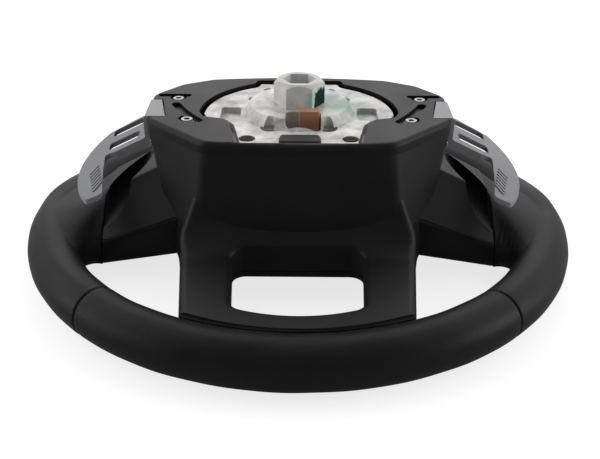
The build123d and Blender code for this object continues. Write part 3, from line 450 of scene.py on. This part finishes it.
# Creases of the flare: slanting waves that bend with the height and fade out round one place.
def flareCreases(line, mirror, shift):
    leanOut, leanUp = flareLook["creaseLean"]
    reach = np.linalg.norm(line - np.array(flareLook["crease"]), axis=2, keepdims=True) / flareLook["creaseReach"]
    across = (line[..., :1] * leanOut - line[..., 1:2] * leanUp) * fullTurn / flareLook["creasePitch"]
    bend = flareLook["creaseBend"] * np.sin(line[..., 2:] * flareLook["creaseBends"])
    ripple = flareLook["creaseRise"] * np.sin(across + shift + bend) - flareLook["creaseSink"]
    return flareLook["creaseDepth"][mirror] * ripple * np.exp(-reach ** 2)


# The flare of a spoke's end: each line runs from the trim's edge, led by the middle outline, and lands on
# the rim along its surface (a cubic with given end slopes); its inner wall runs back under it.
def flareGrid(mirror, shift):
    angle = np.linspace(0, fullTurn, flareLook["turns"], endpoint=False)
    edge = flareLoop(flareLook["edgeShape"], flareLook["edgeHeart"], flareLook["edge"], angle)
    middle = flareLoop(flareLook["middleShape"], flareLook["middleHeart"], flareLook["middle"], angle)
    foot, nudge = flareFoot(angle, 1.0), flareLook["nudge"]
    growth = (flareFoot(angle, 1 + nudge) - flareFoot(angle, 1 - nudge)) / (2 * nudge)
    lead, landing = (middle - edge) * flareLook["lead"], growth * flareLook["landing"]
    step = (np.linspace(0, 1, flareLook["steps"]) ** flareLook["crowding"])[:, None, None]
    line = ((2 * step ** 3 - 3 * step ** 2 + 1) * edge + (step ** 3 - 2 * step ** 2 + step) * lead
            + (3 * step ** 2 - 2 * step ** 3) * foot + (step ** 3 - step ** 2) * landing)
    facing = np.cross(np.roll(line, -1, axis=1) - np.roll(line, 1, axis=1), np.gradient(line, axis=0))
    facing /= np.linalg.norm(facing, axis=2, keepdims=True)
    strides = np.linalg.norm(np.diff(line, axis=0, prepend=line[:1]), axis=2)
    run = np.cumsum(strides, axis=0)[..., None]
    sinking = smooth((step - flareLook["sinkFrom"]) / (1 - flareLook["sinkFrom"]))
    sink = flareLook["sink"] * sinking + foldAt(run)
    outer = line + facing * (flareCreases(line, mirror, shift) - sink)
    inner = line - facing * rimLook["wall"]
    grid = np.concatenate([outer, inner[::-flareLook["innerStep"]]])
    return grid * np.array([mirror, 1, 1])


stitchLook = {
    "pitch": 0.0048, "reach": 0.0017, "slant": 0.0009, "thick": 0.00032, "taper": 0.96,
    "rise": 0.00012, "dip": 0.0009, "sunk": 0.0003, "spokeRoom": 0.080, "places": 7, "sides": 6,
}


# Stitches cross the sewn line at a slant: each is a small tube that rises over the line and dips at its ends.
def stitchGrid(turn):
    place = np.linspace(-1, 1, stitchLook["places"])[None, :, None]
    ringRound = np.linspace(0, fullTurn, stitchLook["sides"], endpoint=False)[None, None, :]
    thick = stitchLook["thick"] * np.sqrt(1 - stitchLook["taper"] * place ** 2)
    along = turn[:, None, None] + (stitchLook["slant"] * place + thick * np.cos(ringRound)) / rimLook["ring"]
    around = rimLook["seamRound"] + stitchLook["reach"] * place / rimLook["grip"]
    arch = stitchLook["rise"] - stitchLook["dip"] * place ** 2
    lift = arch + thick * np.sin(ringRound) - stitchLook["sunk"]
    return rimPoint(along, around, -lift)


# Each wrap's first and last angle, and the side of its flare if it has one.
wraps = {
    "leather_left": (-eighthTurn, eighthTurn, 1),
    "leather_upper": (eighthTurn, 3 * eighthTurn, 0),
    "leather_right": (3 * eighthTurn, 5 * eighthTurn, -1),
    "leather_lower": (5 * eighthTurn, 7 * eighthTurn, 0),
}
for order, (name, (start, end, mirror)) in enumerate(wraps.items()):
    grid = wrapGrid(start, end, rimLook["shift"] * order)
    points, faces = grid.reshape(-1, 3), gridFaces(*grid.shape[:2], len(grid))
    if mirror:
        flare = flareGrid(mirror, flareLook["shift"] * order)
        flareFaces = gridFaces(*flare.shape[:2], len(flare)) + len(points)
        points = np.concatenate([points, flare.reshape(-1, 3)])
        faces = np.concatenate([faces, flareFaces[:, ::-mirror]])  # turned round on the side that isn't mirrored
    wrap = makePiece(name.replace("leather", "hide"), points, faces.tolist(), "rim_leather", name)
    count = int((end - start) * rimLook["ring"] / stitchLook["pitch"])
    turn = start + (np.arange(count) + 0.5) / count * (end - start)
    room = stitchLook["spokeRoom"] if mirror else 0
    threads = stitchGrid(turn[np.abs(np.sin(turn)) * rimLook["ring"] > room])
    threadFaces = tubeFaces(*threads.shape[:3])
    makePiece(name.replace("leather", "stitches"), threads, threadFaces, "sewing_thread")
print("four leather wraps and their stitches made")

coilLook = {
    "places": ((-0.0335, -0.050), (0.0335, -0.050), (0.0, 0.048)), "radius": 0.0069, "wire": 0.0008,
    "bottom": 0.07403, "top": 0.090, "turns": 3.5, "travel": 0.0025, "steps": 168, "sides": 12,
}


# A coil: a small circle square to the helix's own direction, carried up it.
def coilGrid(place):
    share = np.linspace(0, 1, coilLook["steps"])[:, None]
    angle, low = share * coilLook["turns"] * fullTurn, coilLook["bottom"] + coilLook["wire"]
    climb = coilLook["top"] - coilLook["bottom"] - 2 * coilLook["wire"]
    slope = np.arctan2(climb, coilLook["turns"] * fullTurn * coilLook["radius"])
    around = np.linspace(0, fullTurn, coilLook["sides"], endpoint=False)[None, :]
    out, lift = coilLook["wire"] * np.cos(around), coilLook["wire"] * np.sin(around)
    radius, back = coilLook["radius"] + out, -lift * np.sin(slope)
    return np.stack([place[0] + radius * np.cos(angle) - back * np.sin(angle),
                     place[1] + radius * np.sin(angle) + back * np.cos(angle),
                     low + share * climb + lift * np.cos(slope)], axis=-1)


# Three open coils stand round the tray's guide pins, and the pad presses them flatter against the plate.
coils = np.stack([coilGrid(place) for place in coilLook["places"]])
springs = makePiece("horn_coils", coils, tubeFaces(*coils.shape[:3]), "spring_steel", "horn_springs")
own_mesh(springs)
print("horn springs made")


stageLook = {
    "floorSide": 30.0, "floorPale": (0.54, 0.54, 0.54), "floorSeen": (0.34, 0.34, 0.34), "floorLift": 0.77,
    "ambient": 0.6, "mirrored": 0.9, "frontShare": 0.42, "fade": (-0.35, 0.85),
}


# Rays that show the backdrop itself come straight from the camera or through glass.
def seenDirectly(tree, path):
    return combine(tree, "MAXIMUM", path.outputs["Is Camera Ray"], path.outputs["Is Transmission Ray"])


def mixShaders(tree, amount, first, second):
    node = tree.nodes.new("ShaderNodeMixShader")
    for socket, output in zip(node.inputs, (amount, first, second)):
        tree.links.new(output, socket)
    return node.outputs[0]


# Seen directly, the floor is lifted to white and keeps the shadow; to other rays it is plainly pale.
# It is clear from below and to the light under it, so that the driver's face can be looked at.
def floorFinish():
    mat = bpy.data.materials.new("floor_pale")
    mat.use_nodes = True
    tree = mat.node_tree
    tree.nodes.remove(tree.nodes["Principled BSDF"])
    plain, shown = (tree.nodes.new("ShaderNodeBsdfDiffuse") for _ in range(2))
    lift, both = tree.nodes.new("ShaderNodeEmission"), tree.nodes.new("ShaderNodeAddShader")
    clear, path = tree.nodes.new("ShaderNodeBsdfTransparent"), tree.nodes.new("ShaderNodeLightPath")
    plain.inputs["Color"].default_value = (*stageLook["floorPale"], 1)
    shown.inputs["Color"].default_value = (*stageLook["floorSeen"], 1)
    lift.inputs["Strength"].default_value = stageLook["floorLift"]
    tree.links.new(shown.outputs[0], both.inputs[0])
    tree.links.new(lift.outputs[0], both.inputs[1])
    above = mixShaders(tree, seenDirectly(tree, path), plain.outputs[0], both.outputs[0])
    under = tree.nodes.new("ShaderNodeNewGeometry").outputs["Backfacing"]
    unseen = combine(tree, "MAXIMUM", under, path.outputs["Is Shadow Ray"])
    surface = mixShaders(tree, unseen, above, clear.outputs[0])
    tree.links.new(surface, tree.nodes["Material Output"].inputs["Surface"])
    return mat


def makeFloor():
    half = stageLook["floorSide"] / 2
    corners = [(-half, -half, 0), (half, -half, 0), (half, half, 0), (-half, half, 0)]
    mesh = bpy.data.meshes.new("floor")
    mesh.from_pydata(corners, [], [(0, 1, 2, 3)])
    mesh.materials.append(floorFinish())
    floor = bpy.data.objects.new("floor", mesh)
    bpy.context.scene.collection.objects.link(floor)


# The backdrop is white where it is seen; as light it is brighter above and behind than in front.
def makeWorld():
    world = bpy.data.worlds.new("studio")
    world.use_nodes = True
    tree = world.node_tree
    back, path = tree.nodes["Background"], tree.nodes.new("ShaderNodeLightPath")
    parts = tree.nodes.new("ShaderNodeSeparateXYZ")
    tree.links.new(tree.nodes.new("ShaderNodeTexCoord").outputs["Generated"], parts.inputs[0])
    level = spread(tree, parts.outputs["Y"], *stageLook["fade"], stageLook["frontShare"], 1.0, "SMOOTHSTEP")
    share = spread(tree, path.outputs["Is Glossy Ray"], 0, 1, stageLook["ambient"], stageLook["mirrored"])
    light = combine(tree, "MULTIPLY", level, share)
    back.inputs["Color"].default_value = (1, 1, 1, 1)
    tree.links.new(combine(tree, "MAXIMUM", light, seenDirectly(tree, path)), back.inputs["Strength"])
    bpy.context.scene.world = world


def makeLamp(name, place, target, size, power):
    data = bpy.data.lights.new(name, "AREA")
    data.shape = "RECTANGLE"
    data.size, data.size_y = size
    data.energy = power
    lamp = bpy.data.objects.new(name, data)
    lamp.location = place
    lamp.rotation_mode = "QUATERNION"
    lamp.rotation_quaternion = (Vector(target) - Vector(place)).to_track_quat("-Z", "Y")
    lamp.visible_camera = False
    bpy.context.scene.collection.objects.link(lamp)


# Each lamp's place, the point it faces, its two sides and its power.
lamps = {
    "key_overhead": ((0.1, 1.15, 1.30), (0, 0, 0.05), (2.0, 1.3), 9),
    "rear_screen": ((0, 1.25, 0.75), (0, 0, 0.10), (2.0, 1.1), 4),
    "side_left": ((-1.0, 0.18, 0.85), (0, 0, 0.04), (0.9, 0.9), 5.0),
    "side_right": ((1.0, 0.18, 0.85), (0, 0, 0.04), (0.9, 0.9), 4.5),
    "under_floor": ((0, -0.20, -1.0), (0, 0, 0), (1.6, 1.6), 15.0),
    "low_left": ((-1.15, -0.20, 0.28), (0, 0, 0.06), (0.7, 0.5), 4.0),
    "low_right": ((1.15, -0.20, 0.28), (0, 0, 0.06), (0.7, 0.5), 5.5),
}
makeFloor()
makeWorld()
for name, lamp in lamps.items():
    makeLamp(name, *lamp)
print("floor, backdrop and lamps set")

cameraLook = {
    "elevation": 0.4720, "distance": 0.68303, "rimHeight": 0.017, "roll": 0.0077,
    "lens": 55.73, "sensor": 36, "shiftX": 0.0030, "shiftY": -0.0120, "clip": (0.01, 100),
}


# The camera looks at the middle of the rim from the near side, raised by the elevation and rolled a little.
def makeCamera():
    data = bpy.data.cameras.new("camera")
    camera = bpy.data.objects.new("camera", data)
    bpy.context.scene.collection.objects.link(camera)
    tilt, roll = cameraLook["elevation"], cameraLook["roll"]
    back = Vector((0, -np.cos(tilt), np.sin(tilt)))
    right = Vector((1, 0, 0))
    up = back.cross(right)
    side = right * np.cos(roll) + up * np.sin(roll)
    top = up * np.cos(roll) - right * np.sin(roll)
    camera.matrix_world = Matrix((side, top, back)).transposed().to_4x4()
    camera.location = back * cameraLook["distance"] + Vector((0, 0, cameraLook["rimHeight"]))
    data.sensor_width, data.lens = cameraLook["sensor"], cameraLook["lens"]
    data.shift_x, data.shift_y = cameraLook["shiftX"], cameraLook["shiftY"]
    data.clip_start, data.clip_end = cameraLook["clip"]
    bpy.context.scene.camera = camera


makeCamera()
bpy.context.scene.view_settings.view_transform = "Standard"
print("camera set")
